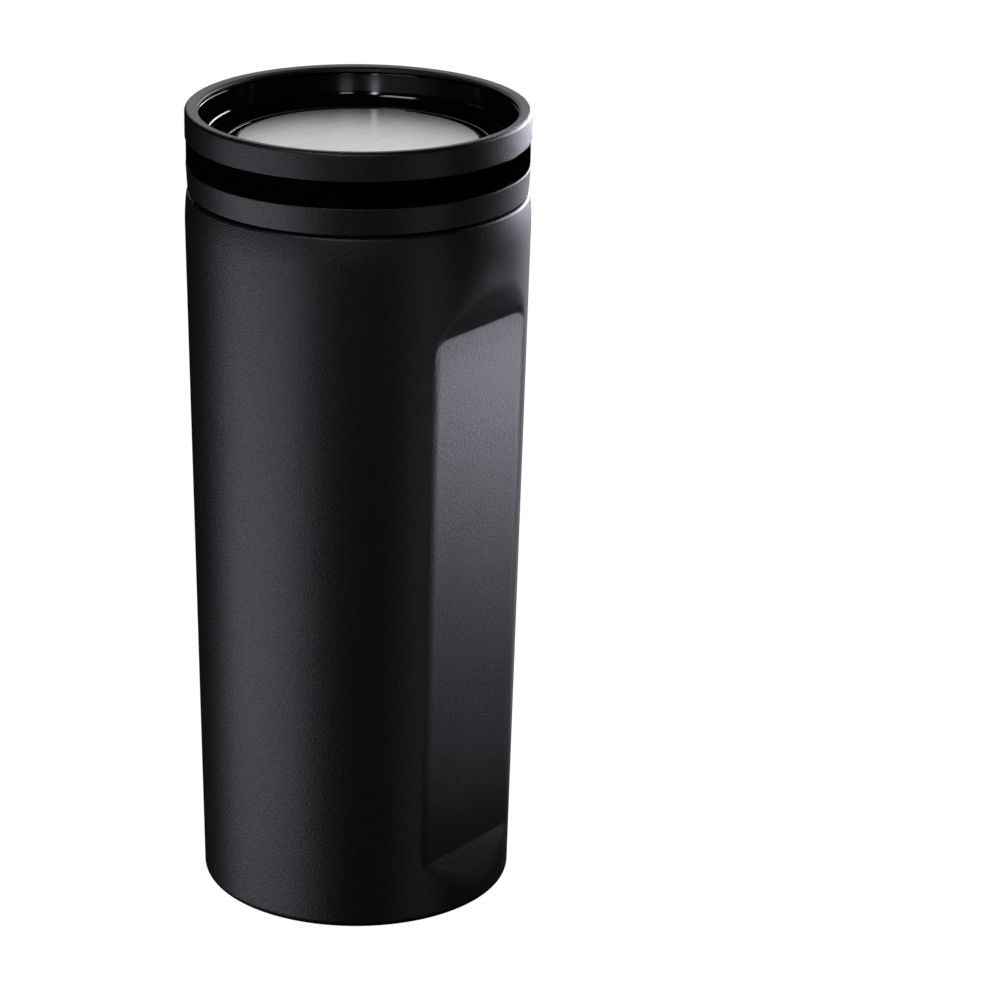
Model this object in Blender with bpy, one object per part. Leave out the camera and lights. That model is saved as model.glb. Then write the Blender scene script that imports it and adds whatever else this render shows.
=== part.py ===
"""Insulated tumbler with a press-to-open, drink-all-round screw lid.

Every length below is in millimetres and is turned into metres by MM when a mesh is made.
The origin is the middle of the base, +Z is up, and the two grip flats face +X and -X.
Neighbouring pieces keep a gap of GAP, also where the real ones touch.
"""

import math

import bmesh
import bpy
from mathutils import Matrix

MM = 0.001
GAP = 0.3
OVERRUN = 2.0
MERGE = 0.00002
LARGE_STEPS = 48
MEDIUM_STEPS = 32
SMALL_STEPS = 18
NOTCH_STEPS = 10
SHARP_ANGLE = 35.0

# Whole object
TOTAL_HEIGHT = 192.0
BODY_TOP = 172.2
BODY_BASE_RADIUS = 37.0
BODY_TOP_RADIUS = 40.15
SHOULDER_HEIGHT = 165.0
SHOULDER_DROP = 0.7
SHELL_WALL = 0.8
BASE_CORNER = 2.0
BASE_CURL_HEIGHT = 0.4
BASE_CURL_ANGLE = -60.0
BASE_BULGE = 0.05
SIDE_START = 0.3
MOUTH_BEVEL = 0.3
LIP_ROUNDING = 0.7
LIP_INNER_RADIUS = 38.2

# Grip flats
GRIP_DEPTH = 3.8
GRIP_FLOOR_LOW = 14.9
GRIP_FLOOR_HIGH = 146.3
GRIP_END_LOW = 7.3
GRIP_END_HIGH = 155.3
GRIP_OUTSIDE = 52.0
GRIP_HALF_WIDTH = 30.0

# Inner vessel
VESSEL_WALL = 0.7
VESSEL_INSET = 5.5
VESSEL_BOTTOM = 8.0
VESSEL_CORNER = 10.0
VESSEL_TOP = 147.0
NECK_BOTTOM = 153.0
NECK_RADIUS = 36.2
NECK_FLANGE_RADIUS = 37.9
NECK_CHAMFER = 0.5
FOIL_WALL = 0.2
FOIL_LOW = 20.0
FOIL_HIGH = 144.0

# Base
PAD_RADIUS = 35.2
PAD_TOP = 1.8
PAD_EDGE = 0.6
PAD_DISH_RADIUS = 25.0
PAD_DISH_DEPTH = 0.6
PAD_DISH_SLOPE = 1.4
PAD_EDGE_STEP = 0.2
PLATE_WALL = 0.7
PLATE_RADIUS = 35.5
PLATE_FLANGE_TOP = 6.0
PORT_RADIUS = 1.0
DIMPLE_RADIUS = 4.2
DIMPLE_DEPTH = 1.3
DIMPLE_SHIFT = 0.3
BEAD_RADIUS = 3.2
BEAD_CROWN_RADIUS = 2.2
BEAD_LOW = 0.1
BEAD_CROWN_LOW = 0.25
BEAD_EDGE_LOW = 0.6
GETTER_RADIUS = 4.0
GETTER_HEIGHT = 1.9
GETTER_CHAMFER = 0.4
GETTER_OFFSET = 18.0

# Thread between the lid and the neck
THREAD_LEAD = 16.0
THREAD_STARTS = 3
THREAD_NECK_TIP = 35.0
THREAD_LID_TIP = 35.8
THREAD_ROOT_SINK = 0.3
THREAD_ROOT_HALF = 1.1
THREAD_TIP_HALF = 0.6
THREAD_NECK_Z = 157.5
THREAD_NECK_SPAN = 100.0
THREAD_LID_SPAN = 90.0
THREAD_OFFSET = 1.9
THREAD_STEP = 360.0 / LARGE_STEPS

# Lid outside
LID_RADIUS = 40.0
UPPER_RING_BOTTOM = 185.2
UPPER_RING_INNER = 38.9
RIM_ROUNDING = 1.0
RIM_INNER_RADIUS = 36.95
RIM_INNER_TOP = 191.2
RIM_EDGE_RADIUS = 37.25
RIM_EDGE_TOP = 191.6
RIM_FACE_RADIUS = 37.9
RIM_FACE_TOP = 191.9
RIM_LIP_BOTTOM = 190.6
WAIST_RADIUS = 39.75
LOWER_RING_TOP = 179.0
LOWER_RING_BOTTOM = 172.7
LOWER_RING_TOP_RADIUS = 39.85
LOWER_RING_BOTTOM_RADIUS = 39.45
LOWER_RING_INNER = 38.7
RING_EDGE = 0.15

# Lid bowl
BOWL_RADIUS = 36.5
BOWL_FLOOR = 183.7
BOWL_COVE = 2.5
BOWL_FLOOR_WALL = 1.8
WELL_RADIUS = 30.4
WELL_WALL = 1.5
WELL_CHAMFER = 0.5
WELL_BOTTOM = 175.5
BOWL_SKIRT_INNER = 36.9
BOWL_SKIRT_BOTTOM = 172.9

# Lid core
CORE_BOTTOM = 153.0
CORE_RADIUS = 34.6
CORE_BORE = 32.3
CORE_TOP = 179.8
CORE_TOP_RADIUS = 34.0
CORE_FLANGE_RADIUS = 36.6
CORE_FLANGE_TOP = 175.1
SEAT_RADIUS = 24.5
SEAT_WALL = 2.0
GROOVE_LOW = 167.3
GROOVE_HIGH = 171.3
GROOVE_RADIUS = 33.5
GUIDE_BORE = 3.4
GUIDE_RADIUS = 8.5
GUIDE_LOW = 153.2
GUIDE_TOP = 156.5
ARM_COUNT = 3
ARM_WIDTH = 3.0
ARM_START_ANGLE = 30.0
ARM_HUB_OVERLAP = 1.0
ARM_SEAT_OVERLAP = 1.5
CORE_ARM_LOW = 153.5
CORE_ARM_HIGH = 156.0

# Gasket
GASKET_LIP_RADIUS = 35.9
GASKET_BODY_RADIUS = 34.8
GASKET_LIP_PITCH = 1.8
GASKET_LIP_RISE = 0.8
GASKET_LIP_EDGE = 1.15
GASKET_LIP_BACK = 1.3

# Button, rod and valve
DISC_RADIUS = 28.1
DISC_TOP = 184.0
DISC_WALL = 0.6
EDGE_CHAMFER = 0.25
CAP_RADIUS = 28.9
CAP_RIM_INNER = 28.4
CAP_RIM_DROP = 0.15
CAP_SKIRT_INNER = 27.5
CAP_SKIRT_BOTTOM = 179.5
CAP_UNDERSIDE = 181.6
BOSS_RADIUS = 6.0
BOSS_BOTTOM = 178.6
ROD_RADIUS = 3.0
ROD_THREAD_RADIUS = 2.6
ROD_BOTTOM = 146.0
ROD_SHOULDER = 151.2
ROD_CHAMFER = 0.3
COLLAR_RADIUS = 6.0
COLLAR_LOW = 166.9
COLLAR_HIGH = 168.1
VALVE_RADIUS = 27.2
VALVE_BOTTOM = 148.6
VALVE_TOP = 150.9
VALVE_BORE = 2.9
VALVE_SLOPE_WIDTH = 1.7
VALVE_SLOPE_HEIGHT = 1.0
VALVE_HOLLOW_RADIUS = 4.0
VALVE_BOSS_RADIUS = 21.2
VALVE_BOSS_TOP = 152.4
SEAL_INNER = 21.5
SEAL_RADIUS = 27.9
SEAL_TOP = 152.7
SEAL_LIP_RISE = 0.7
SEAL_BEVEL = 0.5
NUT_RADIUS = 7.2
NUT_LOW = 146.4
NUT_NOTCHES = 6
NUT_NOTCH_RADIUS = 1.2
NUT_NOTCH_CENTRE = 7.5
NUT_CHAMFER = 0.6

# Click mechanism
SLEEVE_RADIUS = 8.9
SLEEVE_BORE = 7.8
SLEEVE_LAND = 6.8
SLEEVE_LOW = 170.0
SLEEVE_HIGH = 177.2
LAND_LOW = 173.4
BRIDGE_RING_RADIUS = 31.9
BRIDGE_RING_INNER = 30.6
BRIDGE_RING_TOP = 172.6
BRIDGE_ARM_LOW = 170.3
BRIDGE_ARM_HIGH = 172.3
CAM_RADIUS = 6.3
CAM_LUG_RADIUS = 7.4
CAM_LUG_WIDTH = 2.6
CAM_SLOT_WIDTH = 3.3
SLOT_GROOVE = 0.3
CAM_LUGS = 4
CAM_TOOTH = 0.8
CAM_TOOTH_STEPS = 3
LUG_SINK = 1.2
LUG_TOOTH_GAP = 0.1
LUG_TOP_SETBACK = 0.4
LUG_BOTTOM_SETBACK = 0.5
SLOT_SINK = 1.5
PLUNGER_LOW = 173.2
PLUNGER_HIGH = 178.3
ROTOR_LOW = 168.4
ROTOR_HIGH = 172.9

# Spring
SPRING_RADIUS = 4.9
SPRING_WIRE = 0.8
SPRING_TURNS = 5
SPRING_POINTS_PER_TURN = 12


def clear_scene():
    for thing in list(bpy.data.objects):
        bpy.data.objects.remove(thing, do_unlink=True)


def make_material(name, colour, roughness, metallic=0.0):
    material = bpy.data.materials.new(name)
    material.use_nodes = True
    shader = material.node_tree.nodes["Principled BSDF"]
    shader.inputs["Base Color"].default_value = (*colour, 1.0)
    shader.inputs["Roughness"].default_value = roughness
    shader.inputs["Metallic"].default_value = metallic
    return material


def add_object(name, mesh, material):
    item = bpy.data.objects.new(name, mesh)
    bpy.context.scene.collection.objects.link(item)
    if material:
        mesh.materials.append(material)
    return item


def finish_mesh(name, shape, material):
    """Closes a bmesh into an object with outward faces and smooth round sides."""
    bmesh.ops.remove_doubles(shape, verts=shape.verts, dist=MERGE)
    bmesh.ops.recalc_face_normals(shape, faces=shape.faces)
    mesh = bpy.data.meshes.new(name)
    shape.to_mesh(mesh)
    shape.free()
    mesh.shade_smooth()
    mesh.set_sharp_from_angle(angle=math.radians(SHARP_ANGLE))
    return add_object(name, mesh, material)


def arc(centre_r, centre_z, radius, start, end, count):
    """Points of a round corner in a profile, from angle start to angle end in degrees."""
    points = []
    for k in range(count + 1):
        angle = math.radians(start + (end - start) * k / count)
        points.append((centre_r + radius * math.cos(angle), centre_z + radius * math.sin(angle)))
    return points


def lathe_mesh(profile, steps):
    """Turns a (radius, height) outline about Z. An outline that starts and ends at radius 0 stays open there."""
    shape = bmesh.new()
    points = [shape.verts.new((r * MM, 0.0, z * MM)) for r, z in profile]
    on_axis = profile[0][0] == 0 and profile[-1][0] == 0
    pairs = list(zip(points, points[1:]))
    if not on_axis:
        pairs.append((points[-1], points[0]))
    edges = [shape.edges.new(pair) for pair in pairs]
    bmesh.ops.spin(
        shape,
        geom=points + edges,
        cent=(0, 0, 0),
        axis=(0, 0, 1),
        angle=math.tau,
        steps=steps,
        use_merge=True,
    )
    return shape


def lathe(name, profile, material, steps):
    return finish_mesh(name, lathe_mesh(profile, steps), material)


def block(name, low, high, material=None, turn=0.0):
    """A box between two corners, turned about Z by turn degrees."""
    shape = bmesh.new()
    bmesh.ops.create_cube(shape, size=1.0)
    size = [(b - a) * MM for a, b in zip(low, high)]
    middle = [(a + b) * MM / 2 for a, b in zip(low, high)]
    bmesh.ops.scale(shape, vec=size, verts=shape.verts)
    bmesh.ops.translate(shape, vec=middle, verts=shape.verts)
    turning = Matrix.Rotation(math.radians(turn), 3, "Z")
    bmesh.ops.rotate(shape, cent=(0, 0, 0), matrix=turning, verts=shape.verts)
    return finish_mesh(name, shape, material)


def use_tool(target, tool, operation):
    """Cuts target with tool, or joins tool to it, and leaves tool as a hidden guide."""
    boolean = target.modifiers.new(tool.name, "BOOLEAN")
    boolean.operation = operation
    boolean.solver = "EXACT"
    boolean.object = tool
    tool.hide_render = True
    tool.display_type = "WIRE"


def cut(target, tool):
    use_tool(target, tool, "DIFFERENCE")


def join(target, tool):
    use_tool(target, tool, "UNION")


def body_radius(z):
    """Outer radius of the tapered body at height z."""
    rise = min(z, SHOULDER_HEIGHT) / SHOULDER_HEIGHT
    radius = BODY_BASE_RADIUS + (BODY_TOP_RADIUS - BODY_BASE_RADIUS) * rise
    if z > SHOULDER_HEIGHT:
        share = (z - SHOULDER_HEIGHT) / (BODY_TOP - LIP_ROUNDING - SHOULDER_HEIGHT)
        radius -= SHOULDER_DROP * share * share
    return radius


def shell_side(inset):
    """Heights and radii up the body's side, from the base corner to the lip, moved in by inset."""
    heights = [BASE_CURL_HEIGHT + BASE_CORNER + SIDE_START, SHOULDER_HEIGHT]
    lip_start = BODY_TOP - LIP_ROUNDING
    heights += [(SHOULDER_HEIGHT + lip_start) / 2, lip_start]
    return [(body_radius(z) - inset, z) for z in heights]


def base_corner(radius):
    corner_r = BODY_BASE_RADIUS + BASE_BULGE - BASE_CORNER
    corner_z = BASE_CURL_HEIGHT + BASE_CORNER
    return arc(corner_r, corner_z, radius, BASE_CURL_ANGLE, 0, 3)


def shell_cavity_profile():
    """The space inside the outer shell, run out past its mouth and its base."""
    lip_start = BODY_TOP - LIP_ROUNDING
    inner_top = BODY_TOP - SHELL_WALL
    side = shell_side(SHELL_WALL)[:-1]
    side.append((body_radius(lip_start) - SHELL_WALL, inner_top - MOUTH_BEVEL))
    corner = base_corner(BASE_CORNER - SHELL_WALL)
    mouth_end = BODY_TOP + OVERRUN
    mouth = [(LIP_INNER_RADIUS, inner_top), (LIP_INNER_RADIUS, mouth_end), (0, mouth_end)]
    return [(0, -OVERRUN), (corner[0][0], -OVERRUN)] + corner + side + mouth


def grip_block(name, inset, turn):
    """A wedge-ended bar that presses one grip flat into the body: floor, two ramps, open outside."""
    ramp_low = (GRIP_FLOOR_LOW - GRIP_END_LOW) / GRIP_DEPTH
    ramp_high = (GRIP_END_HIGH - GRIP_FLOOR_HIGH) / GRIP_DEPTH
    floor_low = body_radius(GRIP_FLOOR_LOW) - GRIP_DEPTH - inset
    floor_high = body_radius(GRIP_FLOOR_HIGH) - GRIP_DEPTH - inset
    outline = [
        (floor_low, GRIP_FLOOR_LOW),
        (GRIP_OUTSIDE, GRIP_FLOOR_LOW - (GRIP_OUTSIDE - floor_low) * ramp_low),
        (GRIP_OUTSIDE, GRIP_FLOOR_HIGH + (GRIP_OUTSIDE - floor_high) * ramp_high),
        (floor_high, GRIP_FLOOR_HIGH),
    ]
    shape = bmesh.new()
    corners = [shape.verts.new((x * MM, -GRIP_HALF_WIDTH * MM, z * MM)) for x, z in outline]
    face = shape.faces.new(corners)
    grown = bmesh.ops.extrude_face_region(shape, geom=[face])
    moved = [v for v in grown["geom"] if isinstance(v, bmesh.types.BMVert)]
    bmesh.ops.translate(shape, vec=(0, 2 * GRIP_HALF_WIDTH * MM, 0), verts=moved)
    turning = Matrix.Rotation(math.radians(turn), 3, "Z")
    bmesh.ops.rotate(shape, cent=(0, 0, 0), matrix=turning, verts=shape.verts)
    return finish_mesh(name, shape, None)


def make_outer_shell(material):
    lip_start = BODY_TOP - LIP_ROUNDING
    corner = base_corner(BASE_CORNER)
    lip = arc(body_radius(lip_start) - LIP_ROUNDING, lip_start, LIP_ROUNDING, 0, 90, 3)
    outside = [(0, corner[0][1]), *corner, *shell_side(0)[:-1], *lip, (0, BODY_TOP)]
    shell = lathe("outer_shell", outside, material, LARGE_STEPS)
    cavity = lathe("shell_cavity", shell_cavity_profile(), None, LARGE_STEPS)
    for side, turn in (("right", 0.0), ("left", 180.0)):
        cut(shell, grip_block(f"grip_cutter_{side}", 0.0, turn))
        cut(cavity, grip_block(f"grip_wall_{side}", SHELL_WALL, turn))
    cut(shell, cavity)
    return shell


def helix_ridge(name, root_radius, tip_radius, start_angle, start_z, span):
    """One start of the thread: a tapered bar that climbs THREAD_LEAD in each full turn."""
    outline = [
        (root_radius, start_z - THREAD_ROOT_HALF),
        (tip_radius, start_z - THREAD_TIP_HALF),
        (tip_radius, start_z + THREAD_TIP_HALF),
        (root_radius, start_z + THREAD_ROOT_HALF),
    ]
    steps = round(span / THREAD_STEP)
    angle = math.radians(steps * THREAD_STEP)
    rise = THREAD_LEAD * THREAD_STEP / 360.0
    shape = bmesh.new()
    face = shape.faces.new([shape.verts.new((r * MM, 0, z * MM)) for r, z in outline])
    turning = Matrix.Rotation(math.radians(start_angle), 3, "Z")
    bmesh.ops.rotate(shape, cent=(0, 0, 0), matrix=turning, verts=shape.verts)
    bmesh.ops.spin(
        shape,
        geom=[face, *face.edges, *face.verts],
        cent=(0, 0, 0),
        axis=(0, 0, 1),
        dvec=(0, 0, rise * MM),
        angle=angle,
        steps=steps,
    )
    return finish_mesh(name, shape, None)


def add_thread(target, label, root_radius, tip_radius, first_z, span, lead_in):
    for start in range(THREAD_STARTS):
        angle = start * 360.0 / THREAD_STARTS + lead_in
        z = first_z + THREAD_LEAD * lead_in / 360.0
        join(target, helix_ridge(f"{label}_{start + 1}", root_radius, tip_radius, angle, z, span))


def vessel_outline(wall):
    """The vessel's outside, or its inside where wall is its thickness, from the axis to the neck."""
    foot = body_radius(VESSEL_BOTTOM + VESSEL_CORNER) - VESSEL_INSET
    shoulder = body_radius(VESSEL_TOP) - VESSEL_INSET
    corner = arc(
        foot - VESSEL_CORNER,
        VESSEL_BOTTOM + VESSEL_CORNER,
        VESSEL_CORNER - wall,
        -90,
        0,
        4,
    )
    neck = NECK_RADIUS + VESSEL_WALL - wall
    return [(0, VESSEL_BOTTOM + wall), *corner, (shoulder - wall, VESSEL_TOP), (neck, NECK_BOTTOM)]


def make_inner_vessel(material):
    flange_low = BODY_TOP - VESSEL_WALL
    outside = vessel_outline(0)
    outside += [(NECK_RADIUS + VESSEL_WALL, flange_low), (NECK_FLANGE_RADIUS, flange_low)]
    inside = [(NECK_FLANGE_RADIUS, BODY_TOP), (NECK_RADIUS + NECK_CHAMFER, BODY_TOP)]
    inside += [(NECK_RADIUS, BODY_TOP - NECK_CHAMFER)]
    inside += list(reversed(vessel_outline(VESSEL_WALL)))
    vessel = lathe("inner_vessel", outside + inside, material, LARGE_STEPS)
    root = NECK_RADIUS + THREAD_ROOT_SINK
    add_thread(vessel, "neck_ridge", root, THREAD_NECK_TIP, THREAD_NECK_Z, THREAD_NECK_SPAN, THREAD_STEP / 2)
    return vessel


def make_foil(material):
    inner = VESSEL_INSET - GAP
    outer = inner - FOIL_WALL
    profile = [
        (body_radius(FOIL_LOW) - inner, FOIL_LOW),
        (body_radius(FOIL_LOW) - outer, FOIL_LOW),
        (body_radius(FOIL_HIGH) - outer, FOIL_HIGH),
        (body_radius(FOIL_HIGH) - inner, FOIL_HIGH),
    ]
    return lathe("reflective_foil", profile, material, MEDIUM_STEPS)


def make_base(plate_steel, solder, getter_metal, silicone):
    low = PAD_TOP + GAP
    high = low + PLATE_WALL
    plate = [
        (PORT_RADIUS, low + DIMPLE_DEPTH),
        (DIMPLE_RADIUS, low + DIMPLE_DEPTH),
        (DIMPLE_RADIUS + DIMPLE_DEPTH, low),
        (PLATE_RADIUS, low),
        (PLATE_RADIUS, PLATE_FLANGE_TOP),
        (PLATE_RADIUS - PLATE_WALL, PLATE_FLANGE_TOP),
        (PLATE_RADIUS - PLATE_WALL, high),
        (DIMPLE_RADIUS + DIMPLE_DEPTH + DIMPLE_SHIFT, high),
        (DIMPLE_RADIUS + DIMPLE_SHIFT, high + DIMPLE_DEPTH),
        (PORT_RADIUS, high + DIMPLE_DEPTH),
    ]
    lathe("base_plate", plate, plate_steel, MEDIUM_STEPS)

    seal_top = low + DIMPLE_DEPTH - GAP
    bead = [
        (0, low + BEAD_LOW),
        (BEAD_CROWN_RADIUS, low + BEAD_CROWN_LOW),
        (BEAD_RADIUS, low + BEAD_EDGE_LOW),
        (BEAD_RADIUS, seal_top),
        (0, seal_top),
    ]
    lathe("vacuum_seal", bead, solder, SMALL_STEPS)

    pill = [
        (0, high + GAP),
        (GETTER_RADIUS, high + GAP),
        (GETTER_RADIUS, high + GAP + GETTER_HEIGHT - GETTER_CHAMFER),
        (GETTER_RADIUS - GETTER_CHAMFER, high + GAP + GETTER_HEIGHT),
        (0, high + GAP + GETTER_HEIGHT),
    ]
    getter = lathe("getter", pill, getter_metal, SMALL_STEPS)
    getter.location.x = GETTER_OFFSET * MM

    pad = [
        (0, PAD_DISH_DEPTH),
        (PAD_DISH_RADIUS - PAD_DISH_SLOPE, PAD_DISH_DEPTH),
        (PAD_DISH_RADIUS, 0),
        (PAD_RADIUS - PAD_EDGE, 0),
        (PAD_RADIUS - PAD_EDGE_STEP, PAD_EDGE_STEP),
        (PAD_RADIUS, PAD_EDGE),
        (PAD_RADIUS, PAD_TOP),
        (0, PAD_TOP),
    ]
    lathe("base_pad", pad, silicone, LARGE_STEPS)


def make_trim_rings(material):
    top = TOTAL_HEIGHT - RIM_ROUNDING
    upper = [
        (UPPER_RING_INNER, UPPER_RING_BOTTOM),
        (LID_RADIUS - RING_EDGE, UPPER_RING_BOTTOM),
        (LID_RADIUS, UPPER_RING_BOTTOM + RING_EDGE),
        *arc(LID_RADIUS - RIM_ROUNDING, top, RIM_ROUNDING, 0, 90, 3),
        (RIM_FACE_RADIUS, RIM_FACE_TOP),
        (RIM_EDGE_RADIUS, RIM_EDGE_TOP),
        (RIM_INNER_RADIUS, RIM_INNER_TOP),
        (RIM_INNER_RADIUS, RIM_LIP_BOTTOM),
        (UPPER_RING_INNER, RIM_LIP_BOTTOM),
    ]
    lathe("upper_trim_ring", upper, material, LARGE_STEPS)

    lower = [
        (LOWER_RING_INNER, LOWER_RING_BOTTOM),
        (LOWER_RING_BOTTOM_RADIUS - RING_EDGE, LOWER_RING_BOTTOM),
        (LOWER_RING_BOTTOM_RADIUS, LOWER_RING_BOTTOM + RING_EDGE),
        (LOWER_RING_TOP_RADIUS, LOWER_RING_TOP - RING_EDGE),
        (LOWER_RING_TOP_RADIUS - RING_EDGE, LOWER_RING_TOP),
        (LOWER_RING_INNER, LOWER_RING_TOP),
    ]
    lathe("lower_trim_ring", lower, material, LARGE_STEPS)


def make_lid_bowl(material):
    wall_top = RIM_LIP_BOTTOM - GAP
    waist_top = UPPER_RING_BOTTOM - GAP
    waist_bottom = LOWER_RING_TOP + GAP
    underside = BOWL_FLOOR - BOWL_FLOOR_WALL
    profile = [
        (RIM_INNER_RADIUS, wall_top),
        *arc(BOWL_RADIUS - BOWL_COVE, BOWL_FLOOR + BOWL_COVE, BOWL_COVE, 0, -90, 3),
        (WELL_RADIUS + WELL_CHAMFER, BOWL_FLOOR),
        (WELL_RADIUS, BOWL_FLOOR - WELL_CHAMFER),
        (WELL_RADIUS, WELL_BOTTOM),
        (WELL_RADIUS + WELL_WALL, WELL_BOTTOM),
        (WELL_RADIUS + WELL_WALL, underside),
        (BOWL_SKIRT_INNER, underside),
        (BOWL_SKIRT_INNER, BOWL_SKIRT_BOTTOM),
        (LOWER_RING_INNER - GAP, BOWL_SKIRT_BOTTOM),
        (LOWER_RING_INNER - GAP, waist_bottom),
        (WAIST_RADIUS, waist_bottom),
        (WAIST_RADIUS, waist_top),
        (UPPER_RING_INNER - GAP, waist_top),
        (UPPER_RING_INNER - GAP, wall_top),
    ]
    return lathe("lid_bowl", profile, material, LARGE_STEPS)


def add_arms(target, label, inner, outer, low, high):
    for k in range(ARM_COUNT):
        arm = block(
            f"{label}_{k + 1}",
            (inner, -ARM_WIDTH / 2, low),
            (outer, ARM_WIDTH / 2, high),
            turn=k * 360.0 / ARM_COUNT + ARM_START_ANGLE,
        )
        join(target, arm)


def make_lid_core(material):
    profile = [
        (SEAT_RADIUS, CORE_BOTTOM),
        (CORE_RADIUS, CORE_BOTTOM),
        (CORE_RADIUS, GROOVE_LOW),
        (GROOVE_RADIUS, GROOVE_LOW),
        (GROOVE_RADIUS, GROOVE_HIGH),
        (CORE_RADIUS, GROOVE_HIGH),
        (CORE_RADIUS, BOWL_SKIRT_BOTTOM),
        (CORE_FLANGE_RADIUS, BOWL_SKIRT_BOTTOM),
        (CORE_FLANGE_RADIUS, CORE_FLANGE_TOP),
        (CORE_TOP_RADIUS, CORE_FLANGE_TOP),
        (CORE_TOP_RADIUS, CORE_TOP),
        (CORE_BORE, CORE_TOP),
        (CORE_BORE, CORE_BOTTOM + SEAT_WALL),
        (SEAT_RADIUS, CORE_BOTTOM + SEAT_WALL),
    ]
    core = lathe("lid_core", profile, material, LARGE_STEPS)
    hub_profile = [
        (GUIDE_BORE, GUIDE_LOW),
        (GUIDE_RADIUS, GUIDE_LOW),
        (GUIDE_RADIUS, GUIDE_TOP),
        (GUIDE_BORE, GUIDE_TOP),
    ]
    hub = lathe("guide_hub", hub_profile, None, SMALL_STEPS)
    arm_inner = GUIDE_RADIUS - ARM_HUB_OVERLAP
    arm_outer = SEAT_RADIUS + ARM_SEAT_OVERLAP
    add_arms(hub, "core_arm", arm_inner, arm_outer, CORE_ARM_LOW, CORE_ARM_HIGH)
    join(core, hub)
    root = CORE_RADIUS - THREAD_ROOT_SINK
    ridge_z = THREAD_NECK_Z - THREAD_OFFSET
    add_thread(core, "lid_ridge", root, THREAD_LID_TIP, ridge_z, THREAD_LID_SPAN, THREAD_STEP * 1.5)
    return core


def make_seals(silicone):
    bowl_seal = [
        (CORE_BORE, CORE_TOP + GAP),
        (CORE_TOP_RADIUS, CORE_TOP + GAP),
        (CORE_TOP_RADIUS, BOWL_FLOOR - BOWL_FLOOR_WALL - GAP),
        (CORE_BORE, BOWL_FLOOR - BOWL_FLOOR_WALL - GAP),
    ]
    lathe("bowl_seal", bowl_seal, silicone, MEDIUM_STEPS)

    inner = GROOVE_RADIUS + GAP
    low = GROOVE_LOW + GAP
    high = GROOVE_HIGH - GAP
    gasket = [(inner, low)]
    for lip in (low, low + GASKET_LIP_PITCH):
        gasket += [
            (GASKET_BODY_RADIUS, lip),
            (GASKET_LIP_RADIUS, lip + GASKET_LIP_RISE),
            (GASKET_LIP_RADIUS, lip + GASKET_LIP_EDGE),
            (GASKET_BODY_RADIUS, lip + GASKET_LIP_BACK),
        ]
    gasket += [(GASKET_BODY_RADIUS, high), (inner, high)]
    lathe("lid_gasket", gasket, silicone, MEDIUM_STEPS)

    base = VALVE_TOP + GAP
    valve_seal = [
        (SEAL_INNER, base),
        (VALVE_RADIUS, base),
        (SEAL_RADIUS, base + SEAL_LIP_RISE),
        (SEAL_RADIUS - SEAL_BEVEL, SEAL_TOP),
        (SEAL_INNER, SEAL_TOP),
    ]
    lathe("valve_seal", valve_seal, silicone, MEDIUM_STEPS)


def make_button(steel, plastic, rod_steel):
    bottom = DISC_TOP - DISC_WALL
    disc = [
        (0, bottom),
        (DISC_RADIUS, bottom),
        (DISC_RADIUS, DISC_TOP - EDGE_CHAMFER),
        (DISC_RADIUS - EDGE_CHAMFER, DISC_TOP),
        (0, DISC_TOP),
    ]
    lathe("button_disc", disc, steel, LARGE_STEPS)

    bed = bottom - GAP
    rim_top = DISC_TOP - CAP_RIM_DROP
    cap = [
        (0, bed),
        (CAP_RIM_INNER, bed),
        (CAP_RIM_INNER, rim_top),
        (CAP_RADIUS - EDGE_CHAMFER, rim_top),
        (CAP_RADIUS, rim_top - EDGE_CHAMFER),
        (CAP_RADIUS, CAP_SKIRT_BOTTOM),
        (CAP_SKIRT_INNER, CAP_SKIRT_BOTTOM),
        (CAP_SKIRT_INNER, CAP_UNDERSIDE),
        (BOSS_RADIUS, CAP_UNDERSIDE),
        (BOSS_RADIUS, BOSS_BOTTOM),
        (ROD_RADIUS + GAP, BOSS_BOTTOM),
        (ROD_RADIUS + GAP, CAP_UNDERSIDE),
        (0, CAP_UNDERSIDE),
    ]
    lathe("button_cap", cap, plastic, MEDIUM_STEPS)

    rod_top = CAP_UNDERSIDE - GAP
    rod = [
        (0, ROD_BOTTOM),
        (ROD_THREAD_RADIUS - ROD_CHAMFER, ROD_BOTTOM),
        (ROD_THREAD_RADIUS, ROD_BOTTOM + ROD_CHAMFER),
        (ROD_THREAD_RADIUS, ROD_SHOULDER),
        (ROD_RADIUS, ROD_SHOULDER),
        (ROD_RADIUS, COLLAR_LOW),
        (COLLAR_RADIUS, COLLAR_LOW),
        (COLLAR_RADIUS, COLLAR_HIGH),
        (ROD_RADIUS, COLLAR_HIGH),
        (ROD_RADIUS, rod_top - ROD_CHAMFER),
        (ROD_RADIUS - ROD_CHAMFER, rod_top),
        (0, rod_top),
    ]
    lathe("push_rod", rod, rod_steel, SMALL_STEPS)


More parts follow.
